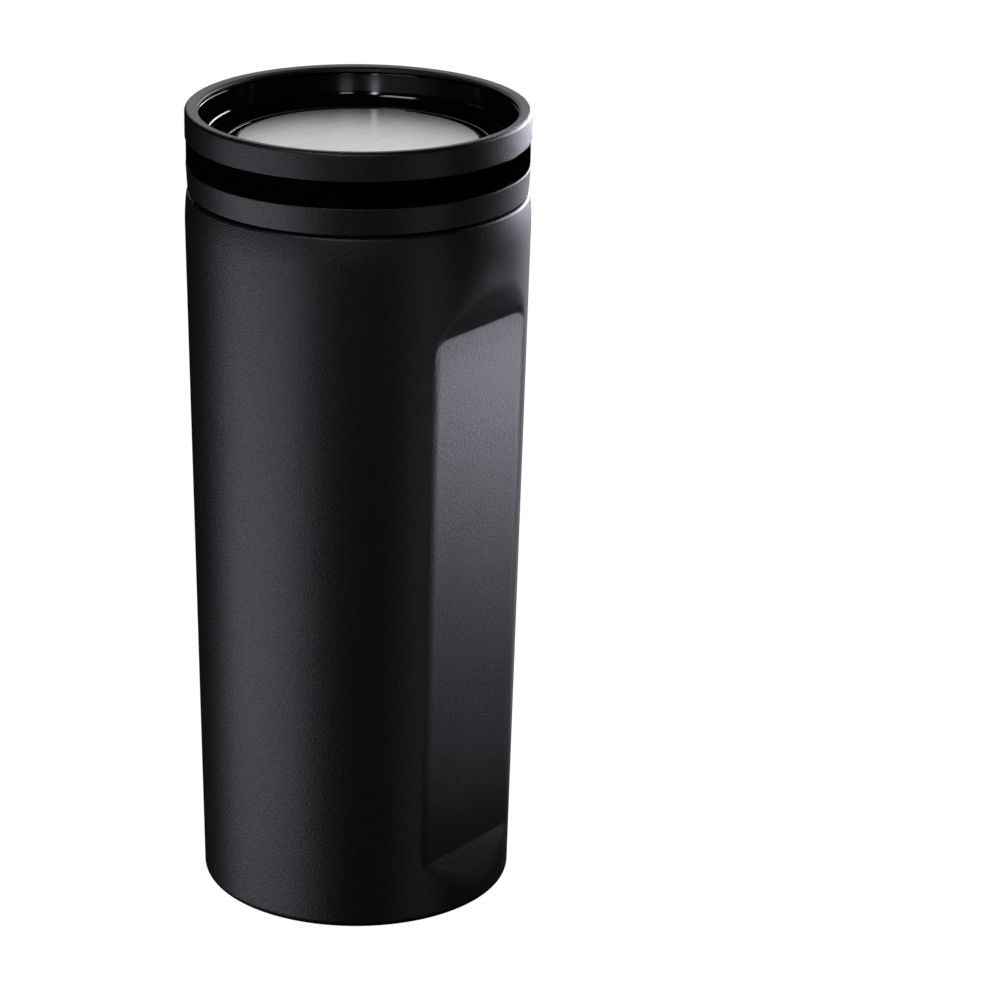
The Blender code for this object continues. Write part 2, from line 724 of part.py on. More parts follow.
def make_valve(plastic):
    plate = [
        (VALVE_BORE, VALVE_BOTTOM),
        (VALVE_RADIUS - VALVE_SLOPE_WIDTH, VALVE_BOTTOM),
        (VALVE_RADIUS, VALVE_BOTTOM + VALVE_SLOPE_HEIGHT),
        (VALVE_RADIUS, VALVE_TOP),
        (VALVE_BOSS_RADIUS, VALVE_TOP),
        (VALVE_BOSS_RADIUS, VALVE_BOSS_TOP),
        (VALVE_HOLLOW_RADIUS, VALVE_BOSS_TOP),
        (VALVE_HOLLOW_RADIUS, VALVE_TOP),
        (VALVE_BORE, VALVE_TOP),
    ]
    lathe("valve_plate", plate, plastic, MEDIUM_STEPS)

    top = VALVE_BOTTOM - GAP
    nut_profile = [
        (VALVE_BORE, NUT_LOW),
        (NUT_RADIUS - NUT_CHAMFER, NUT_LOW),
        (NUT_RADIUS, NUT_LOW + NUT_CHAMFER),
        (NUT_RADIUS, top),
        (VALVE_BORE, top),
    ]
    nut = lathe("valve_nut", nut_profile, plastic, SMALL_STEPS)
    bar = [
        (0, NUT_LOW - OVERRUN),
        (NUT_NOTCH_RADIUS, NUT_LOW - OVERRUN),
        (NUT_NOTCH_RADIUS, top + OVERRUN),
        (0, top + OVERRUN),
    ]
    for k in range(NUT_NOTCHES):
        notch = lathe(f"nut_notch_{k + 1}", bar, None, NOTCH_STEPS)
        angle = math.tau * k / NUT_NOTCHES
        notch.location.x = NUT_NOTCH_CENTRE * math.cos(angle) * MM
        notch.location.y = NUT_NOTCH_CENTRE * math.sin(angle) * MM
        cut(nut, notch)


def toothed_ring(name, low, high, material, teeth_up):
    """A ring with saw teeth on its top or its underside, kept inside its own height."""
    inner = ROD_RADIUS + GAP
    profile = [(inner, low), (CAM_RADIUS, low), (CAM_RADIUS, high), (inner, high)]
    shape = lathe_mesh(profile, SMALL_STEPS)
    bmesh.ops.remove_doubles(shape, verts=shape.verts, dist=MERGE)
    face_z = high if teeth_up else low
    step = math.tau / SMALL_STEPS
    for vert in shape.verts:
        if abs(vert.co.z - face_z * MM) > MERGE:
            continue
        place = round(math.atan2(vert.co.y, vert.co.x) / step) % CAM_TOOTH_STEPS
        cut_back = CAM_TOOTH * place / (CAM_TOOTH_STEPS - 1)
        vert.co.z += (-cut_back if teeth_up else cut_back) * MM
    return finish_mesh(name, shape, material)


def add_lugs(target, label, low, high):
    for k in range(CAM_LUGS):
        lug = block(
            f"{label}_{k + 1}",
            (CAM_RADIUS - LUG_SINK, -CAM_LUG_WIDTH / 2, low),
            (CAM_LUG_RADIUS, CAM_LUG_WIDTH / 2, high),
            turn=k * 360.0 / CAM_LUGS,
        )
        join(target, lug)


def make_click_mechanism(plastic):
    plunger = toothed_ring("cam_plunger", PLUNGER_LOW, PLUNGER_HIGH, plastic, False)
    lug_low = PLUNGER_LOW + CAM_TOOTH + LUG_TOOTH_GAP
    add_lugs(plunger, "plunger_lug", lug_low, PLUNGER_HIGH - LUG_TOP_SETBACK)
    rotor = toothed_ring("click_rotor", ROTOR_LOW, ROTOR_HIGH, plastic, True)
    lug_high = ROTOR_HIGH - CAM_TOOTH - LUG_TOOTH_GAP
    add_lugs(rotor, "rotor_lug", ROTOR_LOW + LUG_BOTTOM_SETBACK, lug_high)

    sleeve_profile = [
        (SLEEVE_BORE, SLEEVE_LOW),
        (SLEEVE_RADIUS, SLEEVE_LOW),
        (SLEEVE_RADIUS, SLEEVE_HIGH),
        (SLEEVE_LAND, SLEEVE_HIGH),
        (SLEEVE_LAND, LAND_LOW),
        (SLEEVE_BORE, LAND_LOW),
    ]
    sleeve = lathe("cam_sleeve", sleeve_profile, plastic, MEDIUM_STEPS)
    for k in range(CAM_LUGS):
        slot = block(
            f"sleeve_slot_{k + 1}",
            (SLEEVE_LAND - SLOT_SINK, -CAM_SLOT_WIDTH / 2, LAND_LOW - SLOT_GROOVE),
            (SLEEVE_BORE + SLOT_GROOVE, CAM_SLOT_WIDTH / 2, SLEEVE_HIGH + OVERRUN),
            turn=k * 360.0 / CAM_LUGS,
        )
        cut(sleeve, slot)
    ring_profile = [
        (BRIDGE_RING_INNER, SLEEVE_LOW),
        (BRIDGE_RING_RADIUS, SLEEVE_LOW),
        (BRIDGE_RING_RADIUS, BRIDGE_RING_TOP),
        (BRIDGE_RING_INNER, BRIDGE_RING_TOP),
    ]
    ring = lathe("bridge_ring", ring_profile, None, MEDIUM_STEPS)
    arm_inner = (SLEEVE_BORE + SLEEVE_RADIUS) / 2
    arm_outer = (BRIDGE_RING_INNER + BRIDGE_RING_RADIUS) / 2
    add_arms(ring, "bridge_arm", arm_inner, arm_outer, BRIDGE_ARM_LOW, BRIDGE_ARM_HIGH)
    join(sleeve, ring)


def make_return_spring(material):
    low = GUIDE_TOP + GAP + SPRING_WIRE / 2
    high = COLLAR_LOW - GAP - SPRING_WIRE / 2
    count = SPRING_TURNS * SPRING_POINTS_PER_TURN
    line = bpy.data.curves.new("return_spring", "CURVE")
    line.dimensions = "3D"
    line.bevel_depth = SPRING_WIRE / 2 * MM
    line.bevel_resolution = 1
    line.use_fill_caps = True
    spline = line.splines.new("POLY")
    spline.points.add(count)
    for k, point in enumerate(spline.points):
        angle = math.tau * k / SPRING_POINTS_PER_TURN
        x = SPRING_RADIUS * math.cos(angle)
        y = SPRING_RADIUS * math.sin(angle)
        z = low + (high - low) * k / count
        point.co = (x * MM, y * MM, z * MM, 1.0)
    add_object("return_spring", line, material)


def main():
    clear_scene()
    coated = make_material("coated_steel", (0.012, 0.012, 0.013), 0.55, 0.0)
    bare = make_material("bare_steel", (0.62, 0.62, 0.61), 0.32, 1.0)
    brushed = make_material("brushed_steel", (0.60, 0.60, 0.59), 0.38, 1.0)
    copper = make_material("copper_foil", (0.72, 0.38, 0.24), 0.30, 1.0)
    solder = make_material("solder", (0.45, 0.45, 0.43), 0.45, 1.0)
    getter_metal = make_material("getter_metal", (0.30, 0.30, 0.30), 0.60, 1.0)
    rubber = make_material("base_silicone", (0.028, 0.030, 0.028), 0.75)
    seal = make_material("seal_silicone", (0.10, 0.10, 0.10), 0.60)
    gloss = make_material("gloss_plastic", (0.006, 0.006, 0.006), 0.08)
    moulded = make_material("moulded_plastic", (0.020, 0.020, 0.021), 0.45)
    acetal = make_material("acetal", (0.60, 0.60, 0.57), 0.40)

    make_outer_shell(coated)
    make_inner_vessel(bare)
    make_foil(copper)
    make_base(bare, solder, getter_metal, rubber)
    make_trim_rings(coated)
    make_lid_bowl(gloss)
    make_lid_core(moulded)
    make_seals(seal)
    make_button(brushed, gloss, bare)
    make_valve(moulded)
    make_click_mechanism(acetal)
    make_return_spring(bare)


main()
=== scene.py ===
import math

import bmesh
import bpy
from mathutils import Matrix, Vector


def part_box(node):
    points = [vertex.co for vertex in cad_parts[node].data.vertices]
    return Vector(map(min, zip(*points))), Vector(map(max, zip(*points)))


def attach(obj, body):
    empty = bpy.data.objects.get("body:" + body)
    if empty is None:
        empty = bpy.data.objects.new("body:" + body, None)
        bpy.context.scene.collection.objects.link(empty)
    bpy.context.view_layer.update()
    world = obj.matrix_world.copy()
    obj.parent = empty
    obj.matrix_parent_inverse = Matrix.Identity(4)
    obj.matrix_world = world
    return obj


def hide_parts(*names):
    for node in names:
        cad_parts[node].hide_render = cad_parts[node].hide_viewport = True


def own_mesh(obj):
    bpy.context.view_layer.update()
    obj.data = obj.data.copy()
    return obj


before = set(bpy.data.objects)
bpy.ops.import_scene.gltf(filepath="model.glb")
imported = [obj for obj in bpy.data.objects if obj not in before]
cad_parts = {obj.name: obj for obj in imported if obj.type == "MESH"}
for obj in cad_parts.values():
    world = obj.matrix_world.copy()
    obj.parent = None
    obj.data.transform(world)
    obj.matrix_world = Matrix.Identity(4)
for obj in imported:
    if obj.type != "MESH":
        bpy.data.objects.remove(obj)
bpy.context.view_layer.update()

# Looks of the insulated tumbler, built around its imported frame.
# Lengths are in millimetres and are turned into metres by MM when a mesh, light or camera is made.
# The origin is the middle of the base, +Z is up, and the two grip flats face +X and -X.
# A corner of an outline is (radius, height, rounding), and GAP is the space between neighbours.

MM = 0.001
ROUND_STEPS = 192
SMALL_STEPS = 64
SHARP_ANGLE = 40.0
ARC_STEPS = 6
HOLD = 0.08
CORNER_SHARE = 0.48
GAP = 0.3


def low(node):
    """Height of a node's lowest point."""
    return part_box(node)[0].z / MM


def high(node):
    """Height of a node's highest point."""
    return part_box(node)[1].z / MM


def radius(node):
    """Outer radius of a round node that is centred on the Z axis."""
    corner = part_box(node)[1]
    return max(corner.x, corner.y) / MM


# ---------------------------------------------------------------- outlines and meshes


def arc(centre_r, centre_z, size, start, end, count):
    """Points on an arc from angle start to angle end, in degrees."""
    points = []
    for k in range(count + 1):
        angle = math.radians(start + (end - start) * k / count)
        points.append((centre_r + size * math.cos(angle), centre_z + size * math.sin(angle)))
    return points


def rounded_corner(before, corner, after, rounding):
    """The arc that replaces a corner, with a holding point on each side that keeps the sides flat.

    It takes up no more than CORNER_SHARE of either side.
    """
    here = Vector(corner)
    back = Vector(before) - here
    ahead = Vector(after) - here
    opening = back.angle(ahead)
    reach = min(rounding / math.tan(opening / 2), CORNER_SHARE * back.length, CORNER_SHARE * ahead.length)
    size = reach * math.tan(opening / 2)
    back.normalize()
    ahead.normalize()
    centre = here + (back + ahead).normalized() * (size / math.sin(opening / 2))
    first = here + back * reach - centre
    last = here + ahead * reach - centre
    turn = first.angle_signed(last)
    steps = max(2, math.ceil(abs(turn) / math.radians(90) * ARC_STEPS))
    points = [here + back * (reach + HOLD)]
    for k in range(steps + 1):
        points.append(centre + Matrix.Rotation(-turn * k / steps, 2) @ first)
    points.append(here + ahead * (reach + HOLD))
    return [tuple(point) for point in points]


def rounded_outline(corners):
    """Turns (radius, height, rounding) corners into an outline. A corner may leave its rounding out."""
    points = []
    count = len(corners)
    for k, corner in enumerate(corners):
        rounding = corner[2] if len(corner) == 3 else 0.0
        if rounding > 0:
            before = corners[k - 1][:2]
            after = corners[(k + 1) % count][:2]
            points += rounded_corner(before, corner[:2], after, rounding)
        else:
            points.append(tuple(corner[:2]))
    return points


def link_mesh(name, shape):
    """Makes a bmesh into a smooth-shaded object with outward faces."""
    bmesh.ops.recalc_face_normals(shape, faces=shape.faces)
    mesh = bpy.data.meshes.new(name)
    shape.to_mesh(mesh)
    shape.free()
    mesh.shade_smooth()
    mesh.set_sharp_from_angle(angle=math.radians(SHARP_ANGLE))
    item = bpy.data.objects.new(name, mesh)
    bpy.context.scene.collection.objects.link(item)
    return item


def even_angles(steps):
    """Equal steps once round the Z axis."""
    return [math.tau * k / steps for k in range(steps)]


def bridge(shape, first, second):
    """Fills the strip between two closed loops of points, or between a loop and one point."""
    count = max(len(first), len(second))
    for k in range(count):
        following = (k + 1) % count
        if len(first) == 1:
            shape.faces.new((first[0], second[k], second[following]))
        elif len(second) == 1:
            shape.faces.new((first[k], first[following], second[0]))
        else:
            shape.faces.new((first[k], first[following], second[following], second[k]))


def ringed(name, rings, angles):
    """A closed solid from rings of (radius, height) points, one point for each angle.

    A ring may also be one (radius, height) pair. Rings that start and end on the axis close there.
    """
    shape = bmesh.new()
    loops = []
    for ring in rings:
        if isinstance(ring, tuple) and ring[0] == 0:
            loops.append([shape.verts.new((0.0, 0.0, ring[1] * MM))])
            continue
        points = [ring] * len(angles) if isinstance(ring, tuple) else ring
        loop = []
        for (size, z), angle in zip(points, angles):
            place = (size * math.cos(angle) * MM, size * math.sin(angle) * MM, z * MM)
            loop.append(shape.verts.new(place))
        loops.append(loop)
    for first, second in zip(loops, loops[1:]):
        bridge(shape, first, second)
    if len(loops[0]) > 1:
        bridge(shape, loops[-1], loops[0])
    return link_mesh(name, shape)


def turned(name, corners, steps=ROUND_STEPS):
    """A closed solid of revolution from (radius, height, rounding) corners."""
    return ringed(name, rounded_outline(corners), even_angles(steps))


def add_piece(piece, body, material):
    """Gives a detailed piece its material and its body."""
    piece.data.materials.append(material)
    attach(piece, body)


def stand_in(piece, node, body, material):
    """Puts a detailed piece in the place of its plain CAD node."""
    add_piece(piece, body, material)
    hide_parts(node)


# ---------------------------------------------------------------- materials


class Surface:
    """A Principled material whose colour, roughness and bump come from procedural patterns."""

    def __init__(self, name, colour, roughness, metallic=0.0):
        self.material = bpy.data.materials.new(name)
        self.material.use_nodes = True
        self.nodes = self.material.node_tree.nodes
        self.links = self.material.node_tree.links
        self.shader = self.nodes["Principled BSDF"]
        self.shader.inputs["Base Color"].default_value = (*colour, 1.0)
        self.shader.inputs["Roughness"].default_value = roughness
        self.shader.inputs["Metallic"].default_value = metallic
        self.colour = colour
        self.roughness = roughness
        self.place = self.nodes.new("ShaderNodeTexCoord").outputs["Object"]
        self.normal = None

    def stretched(self, stretch, turn):
        """Object coordinates turned about Z by turn degrees and stretched along each axis."""
        mapping = self.nodes.new("ShaderNodeMapping")
        mapping.inputs["Rotation"].default_value = (0.0, 0.0, math.radians(turn))
        mapping.inputs["Scale"].default_value = stretch
        self.links.new(self.place, mapping.inputs["Vector"])
        return mapping.outputs["Vector"]

    def around(self, scale):
        """Distance from the Z axis and height as coordinates, so that a pattern makes turned rings."""
        split = self.nodes.new("ShaderNodeSeparateXYZ")
        self.links.new(self.place, split.inputs[0])
        reach = self.nodes.new("ShaderNodeVectorMath")
        reach.operation = "LENGTH"
        flat = self.nodes.new("ShaderNodeCombineXYZ")
        self.links.new(split.outputs["X"], flat.inputs["X"])
        self.links.new(split.outputs["Y"], flat.inputs["Y"])
        self.links.new(flat.outputs[0], reach.inputs[0])
        rings = self.nodes.new("ShaderNodeCombineXYZ")
        self.links.new(reach.outputs["Value"], rings.inputs["X"])
        self.links.new(split.outputs["Z"], rings.inputs["Y"])
        mapping = self.nodes.new("ShaderNodeMapping")
        mapping.inputs["Scale"].default_value = (scale, scale, 1.0)
        self.links.new(rings.outputs[0], mapping.inputs["Vector"])
        return mapping.outputs["Vector"]

    def clouds(self, place, scale, detail, rough):
        """Noise over any coordinates."""
        node = self.nodes.new("ShaderNodeTexNoise")
        node.inputs["Scale"].default_value = scale
        node.inputs["Detail"].default_value = detail
        node.inputs["Roughness"].default_value = rough
        self.links.new(place, node.inputs["Vector"])
        return node.outputs["Fac"]

    def noise(self, size, detail=2.0, rough=0.5):
        """Cloudy pattern with features about size millimetres across."""
        return self.clouds(self.place, 1.0 / (size * MM), detail, rough)

    def streaks(self, place, detail):
        """Noise over coordinates that are scaled already, such as stretched or turned ones."""
        return self.clouds(place, 1.0, detail, 0.5)

    def cells(self, size):
        """Rounded cells about size millimetres across."""
        node = self.nodes.new("ShaderNodeTexVoronoi")
        node.feature = "SMOOTH_F1"
        node.inputs["Scale"].default_value = 1.0 / (size * MM)
        node.inputs["Smoothness"].default_value = 0.6
        self.links.new(self.place, node.inputs["Vector"])
        return node.outputs["Distance"]

    def spread(self, pattern, dark, light):
        """Stretches a pattern's middle range to run from dark to light."""
        node = self.nodes.new("ShaderNodeMapRange")
        node.inputs["From Min"].default_value = 0.3
        node.inputs["From Max"].default_value = 0.7
        node.inputs["To Min"].default_value = dark
        node.inputs["To Max"].default_value = light
        self.links.new(pattern, node.inputs["Value"])
        return node.outputs["Result"]

    def tint(self, pattern, other):
        """Mixes the base colour with another colour by a pattern."""
        node = self.nodes.new("ShaderNodeMix")
        node.data_type = "RGBA"
        node.inputs["A"].default_value = (*self.colour, 1.0)
        node.inputs["B"].default_value = (*other, 1.0)
        self.links.new(self.spread(pattern, 0.0, 1.0), node.inputs["Factor"])
        self.links.new(node.outputs["Result"], self.shader.inputs["Base Color"])

    def gloss(self, pattern, change):
        """Lets roughness wander by change either way."""
        wander = self.spread(pattern, self.roughness - change, self.roughness + change)
        self.links.new(wander, self.shader.inputs["Roughness"])

    def bump(self, pattern, depth):
        """Adds relief of depth millimetres on top of any relief already there."""
        node = self.nodes.new("ShaderNodeBump")
        node.inputs["Strength"].default_value = 1.0
        node.inputs["Distance"].default_value = depth * MM
        self.links.new(pattern, node.inputs["Height"])
        if self.normal:
            self.links.new(self.normal, node.inputs["Normal"])
        self.normal = node.outputs["Normal"]
        self.links.new(self.normal, self.shader.inputs["Normal"])

    def setting(self, socket, value):
        """Sets one of the shader's own sockets."""
        self.shader.inputs[socket].default_value = value


def powder_coat():
    """Matte black powder coat with a fine leathery grain."""
    coat = Surface("coated_steel", (0.0035, 0.0034, 0.0040), 0.40)
    grain = coat.noise(0.42, detail=2.0, rough=0.6)
    coat.tint(coat.noise(9.0, detail=3.0), (0.0045, 0.0044, 0.0050))
    coat.gloss(grain, 0.05)
    coat.bump(grain, 0.08)
    return coat.material


def gloss_black():
    """Polished black plastic with a barely wavy skin and faint handling marks."""
    plastic = Surface("gloss_plastic", (0.0022, 0.0022, 0.0022), 0.075)
    plastic.tint(plastic.noise(6.0), (0.0030, 0.0030, 0.0031))
    plastic.gloss(plastic.noise(3.0, detail=4.0, rough=0.6), 0.02)
    plastic.bump(plastic.noise(14.0, detail=1.0), 0.04)
    return plastic.material


def painted_shade_black():
    """Painted shade for the waist: near-black with no specular reflection at all, so the band stays black
    under every lamp.
    """
    skin = Surface("waist_painted_shade", (0.0010, 0.0010, 0.0010), 0.55)
    skin.tint(skin.noise(5.0), (0.0014, 0.0014, 0.0014))
    skin.gloss(skin.noise(2.0, detail=3.0), 0.05)
    skin.bump(skin.noise(0.4, detail=2.0), 0.01)
    # Painted shade: no specular reflection, so no lamp shows in the waist.
    skin.setting("Specular IOR Level", 0.0)
    return skin.material


def brushed_disc(turn):
    """Steel brushed in straight lines, turned from the Y axis by turn degrees."""
    steel = Surface("brushed_steel", (0.50, 0.495, 0.485), 0.32, metallic=1.0)
    long_lines = steel.stretched((3200.0, 70.0, 500.0), turn)
    fine_lines = steel.stretched((7000.0, 160.0, 500.0), turn)
    steel.tint(steel.streaks(long_lines, 3.0), (0.66, 0.655, 0.645))
    steel.gloss(steel.streaks(fine_lines, 2.0), 0.04)
    steel.bump(steel.streaks(long_lines, 3.0), 0.02)
    return steel.material


def turned_steel():
    """Bare stainless steel with fine rings from spinning and polishing."""
    steel = Surface("bare_steel", (0.56, 0.55, 0.53), 0.26, metallic=1.0)
    rings = steel.around(4200.0)
    steel.tint(steel.noise(18.0, detail=3.0), (0.62, 0.61, 0.59))
    steel.gloss(steel.streaks(rings, 3.0), 0.06)
    steel.bump(steel.streaks(rings, 3.0), 0.004)
    return steel.material


def pad_silicone():
    """Matte dark grey-green silicone of the foot pad."""
    rubber = Surface("base_silicone", (0.026, 0.028, 0.026), 0.72)
    rubber.tint(rubber.noise(5.0, detail=4.0), (0.031, 0.033, 0.031))
    rubber.gloss(rubber.noise(2.0, detail=3.0), 0.05)
    rubber.bump(rubber.noise(0.25, detail=2.0), 0.012)
    rubber.setting("Sheen Weight", 0.08)
    return rubber.material


def seal_silicone():
    """Grey silicone of the seals, smooth and a little waxy."""
    rubber = Surface("seal_silicone", (0.085, 0.085, 0.088), 0.50)
    rubber.tint(rubber.noise(4.0, detail=3.0), (0.10, 0.10, 0.10))
    rubber.gloss(rubber.noise(1.5, detail=2.0), 0.06)
    rubber.bump(rubber.noise(0.3), 0.006)
    rubber.setting("Subsurface Weight", 0.05)
    return rubber.material


def moulded_black():
    """Black moulded plastic with a spark-eroded texture."""
    plastic = Surface("moulded_plastic", (0.013, 0.013, 0.0135), 0.42)
    plastic.tint(plastic.noise(8.0, detail=3.0), (0.016, 0.016, 0.0165))
    plastic.gloss(plastic.noise(1.2, detail=3.0), 0.05)
    plastic.bump(plastic.noise(0.3, detail=3.0, rough=0.6), 0.012)
    return plastic.material


def natural_acetal():
    """Milky acetal of the small sliding parts."""
    acetal = Surface("acetal", (0.60, 0.60, 0.565), 0.36)
    acetal.tint(acetal.noise(3.0, detail=3.0), (0.64, 0.64, 0.61))
    acetal.gloss(acetal.noise(0.8, detail=2.0), 0.05)
    acetal.bump(acetal.noise(0.25, detail=2.0), 0.005)
    acetal.setting("Subsurface Weight", 0.10)
    return acetal.material


def copper_wrap():
    """Thin copper foil, slightly crinkled."""
    foil = Surface("copper_foil", (0.74, 0.40, 0.26), 0.24, metallic=1.0)
    foil.tint(foil.noise(12.0, detail=4.0), (0.66, 0.33, 0.20))
    foil.gloss(foil.noise(3.0, detail=3.0), 0.06)
    foil.bump(foil.noise(4.0, detail=4.0, rough=0.6), 0.18)
    return foil.material


def soft_solder():
    """Dull solder of the pump-out seal."""
    solder = Surface("solder", (0.42, 0.42, 0.40), 0.42, metallic=1.0)
    solder.tint(solder.noise(1.5, detail=3.0), (0.50, 0.50, 0.48))
    solder.gloss(solder.noise(0.8, detail=3.0), 0.08)
    solder.bump(solder.noise(0.9, detail=3.0), 0.05)
    return solder.material


def sintered_getter():
    """Sintered getter metal, dark and grainy."""
    metal = Surface("getter_metal", (0.20, 0.20, 0.20), 0.60, metallic=1.0)
    metal.tint(metal.cells(0.4), (0.32, 0.32, 0.31))
    metal.gloss(metal.noise(0.5, detail=2.0), 0.08)
    metal.bump(metal.cells(0.35), 0.06)
    return metal.material


BRUSH_TURN = 12.0
COATED = powder_coat()
GLOSS = gloss_black()
# The waist's material is painted shade, near-black with no reflection.
WAIST_SHADE = painted_shade_black()
BRUSHED = brushed_disc(BRUSH_TURN)
STEEL = turned_steel()
PAD = pad_silicone()
SEAL = seal_silicone()
MOULDED = moulded_black()
ACETAL = natural_acetal()
COPPER = copper_wrap()
SOLDER = soft_solder()
GETTER = sintered_getter()


# ---------------------------------------------------------------- outer shell

BODY_TOP = high("outer_shell")
TOP_RADIUS = radius("outer_shell")
BODY_TAPER = 3.15
BASE_RADIUS = TOP_RADIUS - BODY_TAPER
SHELL_WALL = 0.8
SHOULDER_HEIGHT = 165.0
SHOULDER_DROP = 0.35
LIP_ROUNDING = 0.7
LIP_START = BODY_TOP - LIP_ROUNDING
LIP_INSET = 0.4
BASE_CORNER = 2.0
BASE_CORNER_HEIGHT = 2.4
BASE_FLARE = 0.05
BASE_CURL_ANGLE = -60.0

# The grip's floor runs between two heights, and at each end a ramp rises from it to the round side.
GRIP_DEPTH = 3.8
GRIP_FLOOR_LOW = 14.9
GRIP_FLOOR_HIGH = 146.3
GRIP_END_LOW = 7.3
GRIP_END_HIGH = 155.3
GRIP_HALF_WIDTH = 16.9
GRIP_CORNER_LOW = 1.5
GRIP_CORNER_HIGH = 4.0
GRIP_SIDE_BLEND = 0.9
GRIP_END_BLEND = 1.1

# Steps of the shell's mesh, in degrees round it and in millimetres up it.
FINE_HALF_ANGLE = 32.0
FINE_ANGLE = 0.5
COARSE_ANGLE = 2.0
FINE_ROW = 0.4
MIDDLE_ROW = 2.0
COARSE_ROW = 3.5
SHOULDER_ROW = 0.8
BEND_ROOM = 2.0
END_ROOM = 3.0


def body_radius(z):
    """Outer radius of the tapered body, which rounds in above its shoulder."""
    rise = min(z, SHOULDER_HEIGHT) / SHOULDER_HEIGHT
    size = BASE_RADIUS + BODY_TAPER * rise
    if z > SHOULDER_HEIGHT:
        share = (z - SHOULDER_HEIGHT) / (LIP_START - SHOULDER_HEIGHT)
        size -= SHOULDER_DROP * share * share
    return size


def corner_pull(across, rounding):
    """How far a ramp starts early near the grip's side, so that the floor's corner is rounded."""
    inside = GRIP_HALF_WIDTH - across
    short = min(max(rounding - inside, 0.0), rounding)
    return rounding - math.sqrt(rounding**2 - short**2)


def grip_plane(z, across):
    """Distance from the axis to the grip's floor, or to the ramp at either end of it."""
    floor_low = body_radius(GRIP_FLOOR_LOW) - GRIP_DEPTH
    floor_high = body_radius(GRIP_FLOOR_HIGH) - GRIP_DEPTH
    share = (z - GRIP_FLOOR_LOW) / (GRIP_FLOOR_HIGH - GRIP_FLOOR_LOW)
    start_low = GRIP_FLOOR_LOW + corner_pull(across, GRIP_CORNER_LOW)
    start_high = GRIP_FLOOR_HIGH - corner_pull(across, GRIP_CORNER_HIGH)
    ramp_low = floor_low + (start_low - z) * GRIP_DEPTH / (GRIP_FLOOR_LOW - GRIP_END_LOW)
    ramp_high = floor_high + (z - start_high) * GRIP_DEPTH / (GRIP_END_HIGH - GRIP_FLOOR_HIGH)
    return max(floor_low + (floor_high - floor_low) * share, ramp_low, ramp_high)


def soft_min(a, b, blend):
    """The smaller of two radii, rounded over where they meet."""
    share = min(max(0.5 + 0.5 * (b - a) / blend, 0.0), 1.0)
    return b * (1 - share) + a * share - blend * share * (1 - share)


def side_radius(z, angle, inset):
    """Radius of the body's side with both grip flats pressed into it, moved in by inset."""
    round_side = body_radius(z) - inset
    facing = abs(math.cos(angle))
    if facing < 0.5:
        return round_side
    end_share = max(GRIP_FLOOR_LOW - z, z - GRIP_FLOOR_HIGH, 0.0) / (GRIP_FLOOR_LOW - GRIP_END_LOW)
    blend = GRIP_SIDE_BLEND + (GRIP_END_BLEND - GRIP_SIDE_BLEND) * min(end_share, 1.0)
    across = (round_side - GRIP_DEPTH) * math.sqrt(1 - facing**2) / facing
    return soft_min(round_side, (grip_plane(z, across) - inset) / facing, blend)


def shell_angles():
    """Columns round the body, closer together over the grip flats."""
    angles = []
    for middle in (0.0, 180.0):
        fine = round(2 * FINE_HALF_ANGLE / FINE_ANGLE)
        angles += [middle - FINE_HALF_ANGLE + FINE_ANGLE * k for k in range(fine)]
        span = 180.0 - 2 * FINE_HALF_ANGLE
        coarse = round(span / COARSE_ANGLE)
        angles += [middle + FINE_HALF_ANGLE + span * k / coarse for k in range(coarse)]
    return [math.radians(angle) for angle in angles]


def spaced(start, end, step):
    """Even steps of about step, from start up to the last one before end."""
    count = max(1, round(abs(end - start) / step))
    return [start + (end - start) * k / count for k in range(count)]


def side_heights():
    """Rows up the body's side. Each stop gives the step between it and the next one."""
    stops = [
        (BASE_CORNER_HEIGHT, MIDDLE_ROW),
        (GRIP_END_LOW - BEND_ROOM, FINE_ROW),
        (GRIP_FLOOR_LOW, FINE_ROW),
        (GRIP_FLOOR_LOW + BEND_ROOM, COARSE_ROW),
        (GRIP_FLOOR_HIGH - BEND_ROOM, FINE_ROW),
        (GRIP_FLOOR_HIGH, FINE_ROW),
        (GRIP_END_HIGH + END_ROOM, MIDDLE_ROW),
        (SHOULDER_HEIGHT, SHOULDER_ROW),
        (LIP_START, 0.0),
    ]
    rows = []
    for (start, step), (end, _) in zip(stops, stops[1:]):
        rows += spaced(start, end, step)
    return rows


